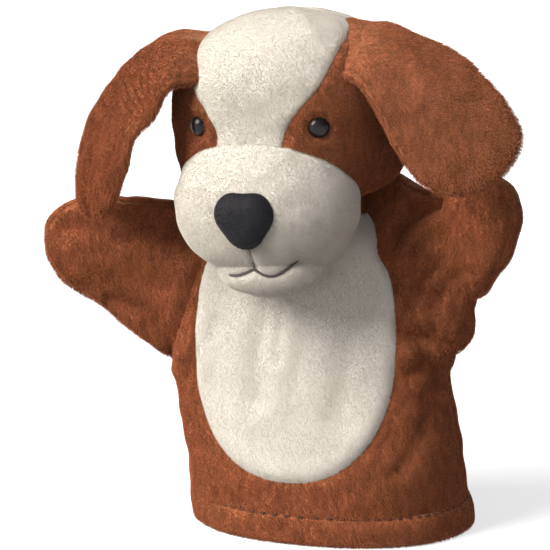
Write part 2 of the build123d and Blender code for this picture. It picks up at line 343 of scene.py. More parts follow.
def add_pile(obj, length, comb=DOWN, clump=0.5, crowding=1.0, loose=0.12):
    """Short plush pile, brushed one way. `loose` scatters the tips, `crowding` adds strands."""
    area = sum(polygon.area for polygon in obj.data.polygons) / MM**2
    obj.modifiers.new("pile", "PARTICLE_SYSTEM")
    system = obj.particle_systems[0]
    system.seed = sum(map(ord, obj.name))
    settings = system.settings
    settings.type = "HAIR"
    settings.count = max(50, int(area * PILE_PER_MM2 * crowding / STRANDS_PER_PARENT))
    settings.hair_step = 3
    settings.use_advanced_hair = True
    # a strand is four times its starting velocity
    settings.normal_factor = 0.7 * length * MM / 4
    settings.object_align_factor = tuple(length * MM / 4 * part for part in comb)
    settings.factor_random = 0.015 * length * MM
    settings.child_type = "INTERPOLATED"
    settings.child_percent = STRANDS_PER_PARENT
    settings.rendered_child_count = STRANDS_PER_PARENT
    settings.child_length = 1.0
    settings.roughness_endpoint = loose * length * MM
    settings.clump_factor = clump
    settings.root_radius, settings.tip_radius, settings.radius_scale = 0.10, 0.03, MM
    settings.use_close_tip = True
    settings.material = 1


def tube(name, path, radius, material, sides=8):
    """A thread along a list of points, with rounded ends."""
    path = np.array(path, float)
    along = units(np.gradient(path, axis=0))
    helper = np.array([0.13, 0.2, 0.97]) if abs(along[0][2]) < 0.9 else np.array([1.0, 0.1, 0.1])
    u = units(np.cross(along, helper))
    w = np.cross(along, u)
    reach = np.linspace(0, 1, len(path))
    swell = radius * np.minimum(1, np.sqrt(np.maximum(0.15, 1 - np.abs(2 * reach - 1) ** 12)))
    rings = []
    for i in range(sides):
        angle = 2 * math.pi * i / sides
        rings.append(path + (u * math.cos(angle) + w * math.sin(angle)) * swell[:, None])
    points = np.stack(rings, 1).reshape(-1, 3)
    caps = [list(range(sides))[::-1], list(range(len(points) - sides, len(points)))]
    return make_mesh(name, points, grid_faces(len(path), sides) + caps, material)


def joined(name, parts):
    """Joins several new objects into one."""
    bpy.ops.object.select_all(action="DESELECT")
    for part in parts:
        part.select_set(True)
    bpy.context.view_layer.objects.active = parts[0]
    bpy.ops.object.join()
    parts[0].name = name
    parts[0].data.name = name
    return parts[0]


# ---- materials

class Nodes:
    """A short way to write the nodes of a material or a world."""

    def __init__(self, name, library=bpy.data.materials, shader="Principled BSDF"):
        self.owner = library.new(name)
        self.owner.use_nodes = True
        self.tree = self.owner.node_tree
        self.shader = self.tree.nodes[shader]

    def plug(self, source, socket):
        if isinstance(source, bpy.types.NodeSocket):
            self.tree.links.new(source, socket)
        else:
            socket.default_value = source

    def add(self, kind, links=None, **values):
        node = self.tree.nodes.new(kind)
        for key, value in values.items():
            setattr(node, key, value)
        for socket, source in (links or {}).items():
            self.plug(source, node.inputs[socket])
        return node

    def noise(self, place, size_mm, detail=3.0):
        node = self.add("ShaderNodeTexNoise", {"Vector": place, "Scale": 1 / (size_mm * MM),
                                               "Detail": detail, "Roughness": 0.6})
        return node.outputs["Fac"]

    def ramp(self, source, stops):
        node = self.add("ShaderNodeValToRGB", {"Fac": source})
        band = node.color_ramp
        band.elements[0].position, band.elements[0].color = stops[0][0], (*stops[0][1], 1)
        band.elements[1].position, band.elements[1].color = stops[-1][0], (*stops[-1][1], 1)
        for position, colour in stops[1:-1]:
            band.elements.new(position).color = (*colour, 1)
        return node.outputs["Color"]

    def place(self, stretch=(1, 1, 1)):
        where = self.add("ShaderNodeTexCoord").outputs["Object"]
        return self.add("ShaderNodeMapping", {"Vector": where, "Scale": stretch}).outputs["Vector"]

    def bump(self, height, strength, distance_mm, below=None):
        links = {"Height": height, "Strength": strength, "Distance": distance_mm * MM}
        if below is not None:
            links["Normal"] = below
        return self.add("ShaderNodeBump", links).outputs["Normal"]

    def mix(self, share, a, b, blend="MIX"):
        links = {0: share, 6: a, 7: b}
        return self.add("ShaderNodeMix", links, data_type="RGBA", blend_type=blend).outputs[2]

    def finish(self, **inputs):
        for socket, source in inputs.items():
            self.plug(source, self.shader.inputs[socket.replace("_", " ")])
        return self.owner


def grey(level):
    """A neutral colour."""
    return (level, level, level)


def shade(colour, factor):
    """A colour made darker or lighter, up to white."""
    return tuple(min(1.0, c * factor) for c in colour)


def plush(name, colour, sheen_tint, sheen, contrast):
    """Short plush: nap streaks, soft mottling and fine fibre, with painted shade at the pile's roots
    and a painted highlight at its tips.
    """
    n = Nodes(name)
    place = n.place()
    mottle = n.noise(place, 22.0)
    streaks = n.noise(n.place((1.0, 1.0, 0.4)), 3.0, 4.0)
    fibre = n.noise(n.place((1.5, 1.5, 0.7)), 0.9, 2.0)
    dark, light = shade(colour, 1 - contrast), shade(colour, 1 + contrast)
    nap = n.ramp(streaks, [(0.32, dark), (0.5, colour), (0.68, light)])
    patches = n.ramp(mottle, [(0.35, grey(1 - 0.35 * contrast)), (0.62, grey(1))])
    base = n.mix(0.9, nap, patches, "MULTIPLY")
    grain = n.ramp(fibre, [(0.35, grey(1 - 1.5 * contrast)), (0.6, grey(1))])
    base = n.mix(0.8, base, grain, "MULTIPLY")
    strand = n.add("ShaderNodeHairInfo").outputs
    # painted shade and painted highlight: each strand's colour is darkened towards its root and
    # lightened towards its tip
    painted_root_shade_tip_highlight = [(0.1, grey(1 - 2.5 * contrast)), (0.9, grey(1 + 1.5 * contrast))]
    strand_base_painted_light = n.mix(1.0, base, n.ramp(strand["Intercept"], painted_root_shade_tip_highlight), "MULTIPLY")
    base = n.mix(strand["Is Strand"], base, strand_base_painted_light)
    rough = n.ramp(streaks, [(0.3, grey(0.95)), (0.7, grey(0.78))])
    normal = n.bump(fibre, 0.5, 0.35, n.bump(streaks, 0.35, 0.8))
    return n.finish(Base_Color=base, Roughness=rough, Normal=normal, Sheen_Weight=sheen,
                    Sheen_Roughness=0.35, Sheen_Tint=(*sheen_tint, 1), Specular_IOR_Level=0.15)


def velvet(name):
    """The nose's dark velvet."""
    n = Nodes(name)
    fibre = n.noise(n.place(), 0.5)
    base = n.ramp(fibre, [(0.35, (0.008, 0.008, 0.010)), (0.7, (0.030, 0.028, 0.034))])
    return n.finish(Base_Color=base, Roughness=0.7, Normal=n.bump(fibre, 0.5, 0.25),
                    Sheen_Weight=0.35, Sheen_Roughness=0.3, Sheen_Tint=(0.7, 0.65, 0.75, 1),
                    Specular_IOR_Level=0.2)


def thread(name, colour):
    """Twisted sewing thread."""
    n = Nodes(name)
    twist = n.noise(n.place((1.0, 1.0, 2.5)), 0.5)
    base = n.ramp(twist, [(0.35, shade(colour, 0.6)), (0.65, shade(colour, 1.3))])
    return n.finish(Base_Color=base, Roughness=0.6, Normal=n.bump(twist, 0.6, 0.2))


def glossy_plastic(name):
    """The safety eyes: black, polished, with faint moulding waviness."""
    n = Nodes(name)
    wave = n.noise(n.place(), 6.0)
    base = n.ramp(wave, [(0.3, (0.006, 0.005, 0.006)), (0.7, (0.012, 0.009, 0.010))])
    rough = n.ramp(wave, [(0.3, grey(0.26)), (0.7, grey(0.34))])
    return n.finish(Base_Color=base, Roughness=rough, Normal=n.bump(wave, 0.05, 0.3),
                    Specular_IOR_Level=0.3)


def natural_plastic(name):
    """The washers inside the head."""
    n = Nodes(name)
    grain = n.noise(n.place(), 1.2)
    base = n.ramp(grain, [(0.3, (0.60, 0.60, 0.56)), (0.7, (0.72, 0.72, 0.69))])
    return n.finish(Base_Color=base, Roughness=0.5, Normal=n.bump(grain, 0.15, 0.1))


def woven(name, colour):
    """Thin plain-woven lining."""
    n = Nodes(name)
    place = n.place()
    bands = []
    for axis in ("X", "Z"):
        wave = n.add("ShaderNodeTexWave", {"Vector": place, "Scale": 420.0, "Distortion": 1.5},
                     bands_direction=axis)
        bands.append(wave.outputs["Fac"])
    weave = n.add("ShaderNodeMath", {0: bands[0], 1: bands[1]}, operation="MULTIPLY").outputs[0]
    base = n.ramp(weave, [(0.0, shade(colour, 0.75)), (1.0, shade(colour, 1.1))])
    return n.finish(Base_Color=base, Roughness=0.85, Normal=n.bump(weave, 0.4, 0.2))


def wadding(name):
    """Fibre filling."""
    n = Nodes(name)
    tufts = n.noise(n.place(), 3.0, 6.0)
    base = n.ramp(tufts, [(0.3, (0.62, 0.61, 0.60)), (0.7, (0.85, 0.85, 0.84))])
    return n.finish(Base_Color=base, Roughness=0.95, Normal=n.bump(tufts, 0.8, 1.2))


BROWN = plush("brown_plush", (0.45, 0.140, 0.058), (1.0, 0.70, 0.44), 1.0, 0.28)
WHITE = plush("white_plush", (0.80, 0.765, 0.705), (1.0, 0.98, 0.94), 0.15, 0.03)
NOSE = velvet("nose_velvet")
EYE = glossy_plastic("eye_plastic")
WASHER = natural_plastic("washer_plastic")
DARK_THREAD = thread("dark_thread", (0.045, 0.035, 0.038))
BROWN_THREAD = thread("brown_thread", (0.07, 0.022, 0.012))
LINING = woven("lining_fabric", (0.66, 0.60, 0.50))
STUFFING = wadding("stuffing")


# ---- glove body and arms

LEAN = 0.15  # sideways shift per unit of height, towards -X
GLOVE_TOP, NECK_TOP, NECK_REACH = 147.0, 157.0, 34.0
HEM, HEM_OVERLAP = 14.0, 0.6  # depth of the turned-up hem; the panels reach into it
# at each height: half the width, half the depth, extra depth in front, and how far back its middle is
glove_width = curve_through((0, 65), (22, 65), (50, 64.8), (82, 63), (112, 58.5), (132, 50),
                            (148, 29), (158, 20))
glove_depth = curve_through((0, 42), (22, 40.8), (50, 38.5), (82, 34.5), (112, 31), (132, 28.5),
                            (148, 25), (158, 20))
glove_bulge = curve_through((0, 5), (30, 3), (60, 0), (90, 0))
glove_back = curve_through((0, 0), (22, 0.4), (50, 1.2), (82, 3), (112, 5.5), (132, 7), (148, 8))
GLOVE_SQUARENESS = 2.2  # of its sections; 2 is an ellipse

PATCH_MIDDLE = (-14.0, 86.0)  # x and z of the tummy patch's widest line
PATCH_HALF_WIDTH, PATCH_DOWN, PATCH_UP = 48.0, 57.5, 70.0
PATCH_POWER, PATCH_FAR = 2.2, 40.0  # how square its outline is, and its field's value far away

ARM_TOP = {  # height above the arm's middle line
    "left": curve_through((-40, 48), (0, 57), (12, 58), (21, 53), (33, 37), (45, 26)),
    "right": curve_through((-40, 38), (0, 36), (31, 32), (50, 26)),
}
ARM_BOTTOM = {  # depth below it
    "left": curve_through((-40, 42), (0, 37), (10, 35), (23, 29), (33, 23), (45, 22.5)),
    "right": curve_through((-40, 42), (0, 39.5), (15, 36), (26, 33.5), (43, 27), (50, 25.5)),
}
ARM_LIFT = {  # how far the middle line curves upwards
    "left": curve_through((0, 0), (20, 1), (40, 6), (60, 12), (83, 17)),
    "right": curve_through((0, 0), (40, 0), (80, -0.5)),
}
ARM_DOME = {"left": (45.0, 38.0), "right": (50.0, 32.0)}  # where the paw rounds off, and how far
ARM_THICKNESS = curve_through((-40, 20), (-20, 26), (0, 32), (15, 30.5), (30, 27), (45, 25))
ARM_FRONT_RATIO, ARM_BACK_RATIO = 0.38, 0.60
ARM_SEAM_FORWARD = 3.5  # the edge seam lies this far in front of the arm's middle
ARM_ROOT = 45.0  # how far each arm reaches into the body
ARM_BLEND, FRONT_BLEND = 9.0, 16.0  # fillet between arm and body, and what the front adds
GUSSET_START = {"left": 6.0, "right": 4.0}  # where the panels change, along each arm
GUSSET_END, ARM_END = 22.0, 42.0


def arm_direction(side):
    """The way from the body out into the arm, nearly level front to back."""
    along = ARM[side].axes[0]
    return unit((along[0], along[1] * 0.25, along[2]))


def glove_field(points):
    """The glove's body, without its arms."""
    x, y, z = points.T
    y = y - glove_back(z)
    depth = glove_depth(z) + np.where(y < 0, glove_bulge(z), 0)
    return oval([x + LEAN * z, y], [glove_width(z), depth], GLOVE_SQUARENESS)


def arm_field(points, side):
    """One arm, with its rounded paw."""
    x, y, z = ARM[side].local(points).T
    z = z - ARM_LIFT[side](x)
    height = np.where(z > 0, ARM_TOP[side](x), ARM_BOTTOM[side](x))
    behind = y * SIDES[side] > 0
    depth = ARM_THICKNESS(x) * np.where(behind, ARM_BACK_RATIO, ARM_FRONT_RATIO)
    start, length = ARM_DOME[side]
    return oval([np.maximum(x - start, 0), y, z], [length, depth, height], 1.95)


def body_field(points):
    """The glove and both arms as one form."""
    field = glove_field(points)
    # the fillet widens from 12 to 24 mm in front of the side seams
    blend = ARM_BLEND + FRONT_BLEND * np.clip((-12 - front_region(points)) / 12, 0, 1)
    for side in SIDES:
        arm = np.maximum(arm_field(points, side), -(along_arm(points, side) + ARM_ROOT))
        field = join(field, arm, blend)
    return field


def along_arm(points, side):
    """How far points are from the arm's pivot, out along the arm."""
    return (points - ARM[side].origin) @ arm_direction(side)


def patch_region(points):
    """Negative inside the egg-shaped tummy patch."""
    x, y, z = points.T
    below = z < PATCH_MIDDLE[1]
    reach = np.where(below, PATCH_DOWN, PATCH_UP)
    rise = (np.abs(z - PATCH_MIDDLE[1]) / reach) ** np.where(below, 2.4, 2.6)
    level = (np.abs(x - PATCH_MIDDLE[0]) / PATCH_HALF_WIDTH) ** PATCH_POWER + rise
    edge = (level ** (1 / PATCH_POWER) - 1) * PATCH_FAR
    return np.where(y < glove_back(z), edge, PATCH_FAR)


def front_region(points):
    """Negative in front of the side seams."""
    return points[:, 1] - glove_back(points[:, 2])


def arm_front_region(points, side):
    """Negative in front of an arm's edge seam."""
    return ARM[side].local(points)[:, 1] * SIDES[side] + ARM_SEAM_FORWARD


# pulls and folds in the plush: the face, a path of (x, z) across it, its width and its depth
BODY_CREASES = [
    ("front", [(-68, 66), (-58, 84), (-50, 98)], 3.0, 1.8),
    ("front", [(-70, 84), (-60, 106)], 2.6, 1.4),
    ("front", [(42, 80), (50, 100), (50, 116)], 3.4, 2.0),
    ("front", [(52, 70), (44, 92)], 3.0, 1.8),
    ("front", [(38, 36), (47, 54), (50, 70)], 3.6, 1.2),
    ("front", [(-56, 28), (-64, 50)], 3.2, 1.0),
    ("back", [(-40, 60), (-20, 90), (-26, 124)], 6.0, 1.4),
    ("back", [(20, 50), (8, 84), (14, 112)], 6.0, 1.4),
    ("back", [(-62, 74), (-46, 92)], 3.5, 1.6),
    ("back", [(42, 78), (26, 98)], 3.5, 1.6),
]
PATCH_CREASES = [
    ("front", [(-29, 66), (-29, 84), (-24, 112)], 5.0, 1.1),
    ("front", [(-20, 84), (-18, 112)], 2.6, 0.7),
    ("front", [(10, 60), (14, 96)], 6.0, 1.0),
]
ARM_CREASES = {
    # the same, in each arm's own frame
    "left": [("front", [(44, 30), (27, 30), (15, 26), (8, 18), (4, 8), (3, -6), (6, -19)], 4.0, 5.5),
             ("front", [(14, -8), (24, 1), (33, 4)], 3.0, 2.4),
             ("front", [(20, -12), (34, -4), (44, -4)], 2.6, 1.6),
             ("front", [(8, -22), (18, -30)], 3.4, 2.2),
             ("back", [(20, -22), (34, -16)], 3.2, 2.0),
             ("back", [(6, 20), (22, 10), (36, 12)], 3.2, 1.6)],
    "right": [("front", [(6, 12), (6, 1), (5, -13), (6, -28), (5, -40)], 2.6, 2.2),
              ("front", [(14, 24), (30, 12), (52, 9), (72, 4)], 6.0, 1.6),
              ("front", [(10, -26), (26, -20), (40, -20)], 3.0, 1.6),
              ("back", [(4, -26), (16, -14), (22, 0)], 3.2, 2.0),
              ("back", [(2, 22), (14, 8)], 3.4, 1.8),
              ("back", [(40, 16), (56, 4)], 4.4, 1.2)],
}


def creases(flat, front, folds):
    """The relief of a list of folds, at points flattened to (x, z) on one face."""
    out = np.zeros(len(flat))
    for face, path, width, depth in folds:
        gap = path_distance(flat, path)
        fold = -depth * (ridge(gap, width) - 0.4 * ridge(gap - 2.2 * width, 1.2 * width))
        out += fold * (front if face == "front" else ~front)
    return out


def body_relief(points):
    """How far the plush stands out of the plain form: seams, folds and unevenness."""
    patch = patch_region(points)
    # 1 well away from the tummy patch, and much less on it
    calm = 1 - 0.85 * np.clip(0.7 - patch / 8, 0, 1)
    out = calm * (0.8 * ripple(points, 24, 3) + 0.45 * ripple(points, 9, 4))
    out -= 1.1 * ridge(patch, 1.3)
    out += 0.5 * ridge(patch + 4, 3)
    out_on_arm = np.maximum(0, np.maximum(along_arm(points, "left"), along_arm(points, "right")))
    out -= 1.2 * ridge(front_region(points), 1.3) * ridge(out_on_arm, 8)
    for side in SIDES:
        local = ARM[side].local(points)
        on_arm = np.clip((along_arm(points, side) - 2) / 12, 0, 1)
        seam = arm_front_region(points, side)
        edge = 0.8 * ridge(seam + 1.2, 1.2) - 1.1 * ridge(seam, 1.0) - 0.6 * ridge(seam - 4, 2.5)
        out += on_arm * edge
        out -= 1.5 * ridge(along_arm(points, side) - GUSSET_START[side], 2.0)
        out += calm * creases(local[:, [0, 2]], seam < 0, ARM_CREASES[side]) * (local[:, 0] > -12)
    flat, front = points[:, [0, 2]], front_region(points) < 0
    return out + calm * creases(flat, front, BODY_CREASES) + creases(flat, front, PATCH_CREASES)


def neck_distance(points):
    """How far points are from the neck's middle line, seen from above."""
    return np.hypot(points[:, 0] - NECK[0], points[:, 1] - NECK[1])


def neck_region(points, height):
    """Negative above this height, close to the neck."""
    return np.maximum(height - points[:, 2], neck_distance(points) - NECK_REACH)


def hem_region(points):
    """Negative where the hem's double fold takes the panels' place."""
    return points[:, 2] - HEM + HEM_OVERLAP


def arm_region(points, side, start, front):
    """Negative beyond a distance along an arm, and in front of a seam where there is one."""
    beyond = start - along_arm(points, side)
    return np.maximum(beyond, front(points)) if front else beyond


def everywhere(points):
    """Negative everywhere: a region for what is left."""
    return np.full(len(points), -1.0)


def body_regions():
    """The body's named panels, in the order that they are cut."""
    regions = {"unused_hem": hem_region,
               "unused_top": partial(neck_region, height=NECK_TOP),
               "neck": partial(neck_region, height=GLOVE_TOP)}
    for side in SIDES:
        arm = partial(arm_region, side=side, start=GUSSET_END)
        armhole = partial(arm_region, side=side, start=GUSSET_START[side])
        regions[f"arm_{side}_front_panel"] = partial(arm, front=partial(arm_front_region, side=side))
        regions[f"arm_{side}_back_panel"] = partial(arm, front=None)
        regions[f"armhole_{side}_front"] = partial(armhole, front=front_region)
        regions[f"armhole_{side}_back"] = partial(armhole, front=None)
    regions.update({"tummy": patch_region, "body_front": front_region, "body_back": everywhere})
    return regions


def make_body():
    """The glove's panels and both arms, from one continuous surface."""
    low, high = np.array(cad_box[0]) / MM, np.array(cad_box[1]) / MM
    points, triangles = surface(body_field, low - (6, 6, 4), (high[0] + 6, high[1] + 6, 182))
    points, panels = cut_all(points, triangles, body_regions())
    points = points + normals_of(body_field, points) * body_relief(points)[:, None]
    pieces = {}
    for name, part in panels.items():
        if not name.startswith("unused"):
            pieces[name] = panel(name, points, part, WHITE if name == "tummy" else BROWN, DOWN)
    for name in ("tummy", "body_front", "body_back"):
        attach(pieces[name], "glove")
    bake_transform(pieces["neck"])
    replaced = {"neck": "neck_sleeve", "tummy": "tummy_patch", "body_front": "glove_front",
                "body_back": "glove_back"}
    for name, node in replaced.items():
        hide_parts(node)
    for side in SIDES:
        for face in ("front", "back"):
            gusset, arm = pieces[f"armhole_{side}_{face}"], pieces[f"arm_{side}_{face}_panel"]
            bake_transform(gusset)
            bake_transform(arm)
            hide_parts(f"arm_{side}_{face}")
        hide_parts(f"armhole_seam_{side}")


def hem_middle(angle, z):
    """A point on the glove's outline at a height, and the way out of it."""
    height = np.array([max(z, 0.0)])
    width = glove_width(height)[0]
    depth = glove_depth(height)[0] + (glove_bulge(height)[0] if math.sin(angle) < 0 else 0)
    power = 2 / GLOVE_SQUARENESS
    x = width * math.copysign(abs(math.cos(angle)) ** power, math.cos(angle))
    y = depth * math.copysign(abs(math.sin(angle)) ** power, math.sin(angle))
    out = unit((math.cos(angle) / width, math.sin(angle) / depth, 0))
    return np.array([x - LEAN * z, y + glove_back(height)[0], z]), out


def hem_wave(angle):
    """The unevenness of the hem's fold."""
    return 0.5 * math.sin(5 * angle + 0.6) + 0.35 * math.sin(9 * angle + 2.0)


def make_hem():
    """The turned-up hem: a rounded double fold that rings the hand opening."""
    rows = 180
    fold = 2.6  # half the thickness of the doubled plush
    section = [(0.2, HEM - 0.3), (1.1, HEM - 1.6), (1.5, 9.0), (1.4, 5.0)]
    section += [(-fold + 1.3 + fold * math.sin(a), 2.6 - 2.5 * math.cos(a))
                for a in np.linspace(math.pi / 2, -math.pi / 2, 9)]
    section += [(-3.9, 8.0), (-3.9, HEM - 2.0), (-3.2, HEM - 0.6), (-1.5, HEM - 0.2)]
    points = []
    for i in range(rows):
        angle = 2 * math.pi * i / rows
        for out_by, z in section:
            middle, out = hem_middle(angle, z)
            bulge = hem_wave(angle) * math.sin(math.pi * min(1, z / HEM)) * (1 if out_by > 0 else 0.6)
            points.append(middle + out * (out_by + bulge))
    obj = make_mesh("hem_turned_up", points, grid_faces(rows, len(section), ring=True), BROWN)
    clean(obj)
    add_pile(obj, PILE * 0.8)
    declare(obj, "glove", "hem_fold")


def make_stitches():
    """The run of stitches that holds the hem up, pulled into the plush."""
    count, half_length = 72, 0.32
    dashes = []
    for i in range(count):
        path = []
        for step in np.linspace(-half_length, half_length, 7):
            middle, out = hem_middle(2 * math.pi * (i + 0.5 + step) / count, HEM - 0.5)
            path.append(middle + out * (1.0 - 0.9 * (step / half_length) ** 2))
        dashes.append(tube(f"stitch_{i}", path, 0.42, BROWN_THREAD, sides=6))
    declare(joined("hem_stitch_row", dashes), "glove", "hem_stitches")


# ---- head

SKULL = (54.0, 47.0, 43.5)
ROUND, FULL = 2.25, 3.8  # how square the skull is above and below its middle
MUZZLE_CENTRE, MUZZLE = (-1.5, -34.0, -40.5), (43.5, 32.0, 33.0)
CHIN_CENTRE, CHIN = (1.0, -40.5, -68.5), (25.0, 18.5, 13.0)
BACK_SEAM = 8.0  # y of the seam from ear to ear
BLAZE_BACK = 19.0  # the white stripe ends a little behind it
EYE_PLACE, EYE_RADIUS = (29.0, -3.0), 5.0  # its place is x and z in the head's frame
NECK_HOLE_RADIUS, NECK_HOLE_TOP = 23.0, 170.0
POCKET_RADIUS, POCKET_TOP = 15.5, 216.0  # the space that the filling leaves for fingers
MOUTH_START, MOUTH_END, MOUTH_MIDDLE = -14.5, 20.0, -65.0
MIDLINE_TOP = -54.0  # where the line under the nose starts
BLAZE_EDGE = {  # half width of the white stripe on each side
    "left": curve_through((-14, 13), (-4, 15), (5, 21), (14, 29), (30, 35), (50, 34)),
    "right": curve_through((-14, 19), (-4, 20), (5, 25), (14, 32), (30, 35), (50, 34)),
}


def skull_field(local):
    """The skull: round on top, with fuller cheeks below its middle."""
    x, y, z = (np.abs(local) / SKULL).T
    power = np.where(local[:, 2] > 0, ROUND, FULL)
    level = ((x**ROUND + y**ROUND) ** (power / ROUND) + z**power) ** (1 / power)
    return (level - 1) * (SKULL[1] + 2.0)


def muzzle_field(local):
    """The muzzle's ball."""
    return ball(local, MUZZLE_CENTRE, MUZZLE, 2.05)


def chin_field(local):
    """The chin's small ball, under the muzzle."""
    return ball(local, CHIN_CENTRE, CHIN)


def head_field(points):
    """Skull, muzzle and chin as one form."""
    local = HEAD.local(points)
    face = join(skull_field(local), muzzle_field(local), 8.0)
    return join(face, chin_field(local), 4.0)


def neck_hole(points):
    """Negative in the space that the neck needs under the head."""
    return np.maximum(neck_distance(points) - NECK_HOLE_RADIUS, points[:, 2] - NECK_HOLE_TOP)


def eye_spot(side):
    """Where an eye sits on the skull, in the head's frame, and the way out of it."""
    x, z = SIDES[side] * EYE_PLACE[0], EYE_PLACE[1]
    y = -SKULL[1] * math.sqrt(1 - (x / SKULL[0]) ** 2 - (z / SKULL[2]) ** 2)
    return np.array([x, y, z]), unit((x / SKULL[0] ** 2, y / SKULL[1] ** 2, z / SKULL[2] ** 2))


def muzzle_region(points):
    """Negative on the muzzle."""
    local = HEAD.local(points)
    return muzzle_field(local) - skull_field(local)


def chin_region(points):
    """Negative on the chin."""
    local = HEAD.local(points)
    return chin_field(local) - muzzle_field(local)


def blaze_region(points):
    """Negative on the white stripe over the forehead."""
    x, y, z = HEAD.local(points).T
    edge = np.where(x > 0, BLAZE_EDGE["left"](z), BLAZE_EDGE["right"](z))
    side = (np.abs(x) - edge) * 0.85
    return np.maximum(side, y - BLAZE_BACK)


def mouth_path(count=49):
    """The mouth's line across the front of the muzzle, as x and z in the head's frame."""
    x = np.linspace(MOUTH_START, MOUTH_END, count)
    downwards = 4.0 * np.sin(np.pi / 2 * np.clip(-x / 13.0, 0, 1.2))
    smiling = 3.4 * np.sin(np.pi * np.clip(x / 16.0, 0, 1.25))
    sag = np.where(x < 0, downwards, smiling)
    return np.stack([x, MOUTH_MIDDLE - sag], 1)


def on_front(x, z):
    """The point of the head's front at these x and z of its own frame."""
    well_in_front, rounds = -90.0, 40
    spot = np.array([[x, well_in_front, z]])
    for _ in range(rounds):
        spot[0, 1] += 0.8 * max(-20, head_field(HEAD.world(spot))[0])
    return HEAD.world(spot)[0]


def head_relief(points):
    """Seams, pressed eye rims and the soft lumps of the stuffing."""
    local = HEAD.local(points)
    x, y, z = local.T
    out = 0.5 * ripple(local, 24, 11) + 0.25 * ripple(local, 8, 12)
    muzzle, blaze = muzzle_region(points), blaze_region(points)
    outside_muzzle = muzzle > 0
    beside_brown = 0.4 + 0.6 * np.clip((np.abs(x) - 17) / 4, 0, 1)
    out -= 1.0 * ridge(muzzle, 1.5) * beside_brown
    out -= 1.0 * ridge(blaze, 1.3) * outside_muzzle
    out -= 1.0 * ridge(y - BACK_SEAM, 1.3) * outside_muzzle
    out -= 0.8 * ridge(chin_region(points), 1.6)
    for side in SIDES:
        spot, _ = eye_spot(side)
        gap = np.linalg.norm(local - spot, axis=1)
        out -= 1.6 * ridge(gap, EYE_RADIUS + 1.5)
        out += 0.9 * ridge(gap - EYE_RADIUS - 3.0, 1.8)
    in_front = y < MUZZLE_CENTRE[1]
    out -= in_front * 1.1 * ridge(x, 1.6) * np.clip((z - MOUTH_MIDDLE + 2) / 3, 0, 1) * (z < -45)
    return out - in_front * 1.3 * ridge(path_distance(local[:, [0, 2]], mouth_path(15)), 1.8)


def make_head():
    """The stuffed head's skin panels."""
    low, high = HEAD.origin - (66, 78, 90), HEAD.origin + (66, 58, 56)
    points, triangles = surface(head_field, low, high)
    regions = {
        "unused_hole": neck_hole,
        "chin": chin_region,
        "muzzle": muzzle_region,
        "blaze": blaze_region,
        "head_rear": lambda p: BACK_SEAM - HEAD.local(p)[:, 1],
        "cheek_left": lambda p: -HEAD.local(p)[:, 0],
        "cheek_right": everywhere,
    }
    points, panels = cut_all(points, triangles, regions)
    points = points + normals_of(head_field, points) * head_relief(points)[:, None]
    replaced = {"chin": "chin_patch", "muzzle": "muzzle_skin", "blaze": "forehead_blaze",
                "head_rear": "head_back", "cheek_left": "face_left", "cheek_right": "face_right"}
    for name, node in replaced.items():
        white = name in ("chin", "muzzle", "blaze")
        obj = panel(name, points, panels[name], WHITE if white else BROWN, FORWARDS)
        declare(obj, "head", node)


def make_filling():
    """The head's fibre filling, just inside its skin, with room for the neck and pocket."""
    def core(points):
        shaft = np.maximum(neck_distance(points) - POCKET_RADIUS, points[:, 2] - POCKET_TOP)
        solid = head_field(points) + FABRIC + 1.6
        return -join(join(-solid, shaft, 1.5), neck_hole(points) - 1.0, 1.5)

    points, triangles = surface(core, HEAD.origin - (60, 74, 84), HEAD.origin + (60, 54, 52))
    kept, index = np.unique(triangles, return_inverse=True)
    points = points[kept]
    sink = 0.6 + 0.5 * ripple(points, 7, 21)
    points = points - normals_of(core, points) * sink[:, None]
    obj = make_mesh("filling", points, index.reshape(-1, 3), STUFFING)
    declare(obj, "head", "head_stuffing")


def make_nose():
    """The nose: a padded velvet triangle with round corners, point down."""
    half_width, half_height, depth, corner = 14.5, 13.0, 8.5, 9.8
    rings, around = 14, 72
    front, middle = MUZZLE_CENTRE[1] - MUZZLE[1], MUZZLE_CENTRE[2] - 0.8
    wide, high = half_width - corner, half_height - corner
    corners = [(-wide, high), (wide, high), (0.0, -high)]
    points = []
    for i in range(rings + 1):
        share = math.sin(math.pi / 2 * i / rings)
        height = depth * (1 - share**3.2) ** 0.55
        for j in range(around):
            angle = 2 * math.pi * j / around
            way = np.array([math.cos(angle), math.sin(angle)])
            across, up = way * outline_reach(way, corners, corner) * share
            points.append((across, front + 2.6 - height, middle + up))
    faces = grid_faces(rings, around, first=around, flip=True)
    faces += [[0, around + j, around + (j + 1) % around] for j in range(around)]
    back, rim = len(points), rings * around
    points.append((0, front + 6.0, middle))
    faces += [[rim + j, back, rim + (j + 1) % around] for j in range(around)]
    obj = make_mesh("nose_pad", HEAD.world(points), faces, NOSE)
    clean(obj)
    add_pile(obj, 0.5, (0, 0, -0.3), clump=0.0)
    declare(obj, "head", "nose")


def outline_reach(way, corners, corner):
    """How far the outline round the corner circles lies from its middle, this way."""
    best = 0.0
    for centre in corners:
        along = np.dot(way, centre)
        off = np.dot(centre, centre) - along**2
        if off < corner**2:
            best = max(best, along + math.sqrt(corner**2 - off))
    for a, b in zip(corners, corners[1:] + corners[:1]):
        edge = np.subtract(b, a)
        out = unit((edge[1], -edge[0]))
        if np.dot(out, a) < 0:
            out = -out
        facing = np.dot(way, out)
        if facing > 1e-6:
            hit = way * (np.dot(a, out) + corner) / facing
            share = np.dot(hit - a, edge) / np.dot(edge, edge)
            if 0 <= share <= 1:
                best = max(best, np.linalg.norm(hit))
    return best


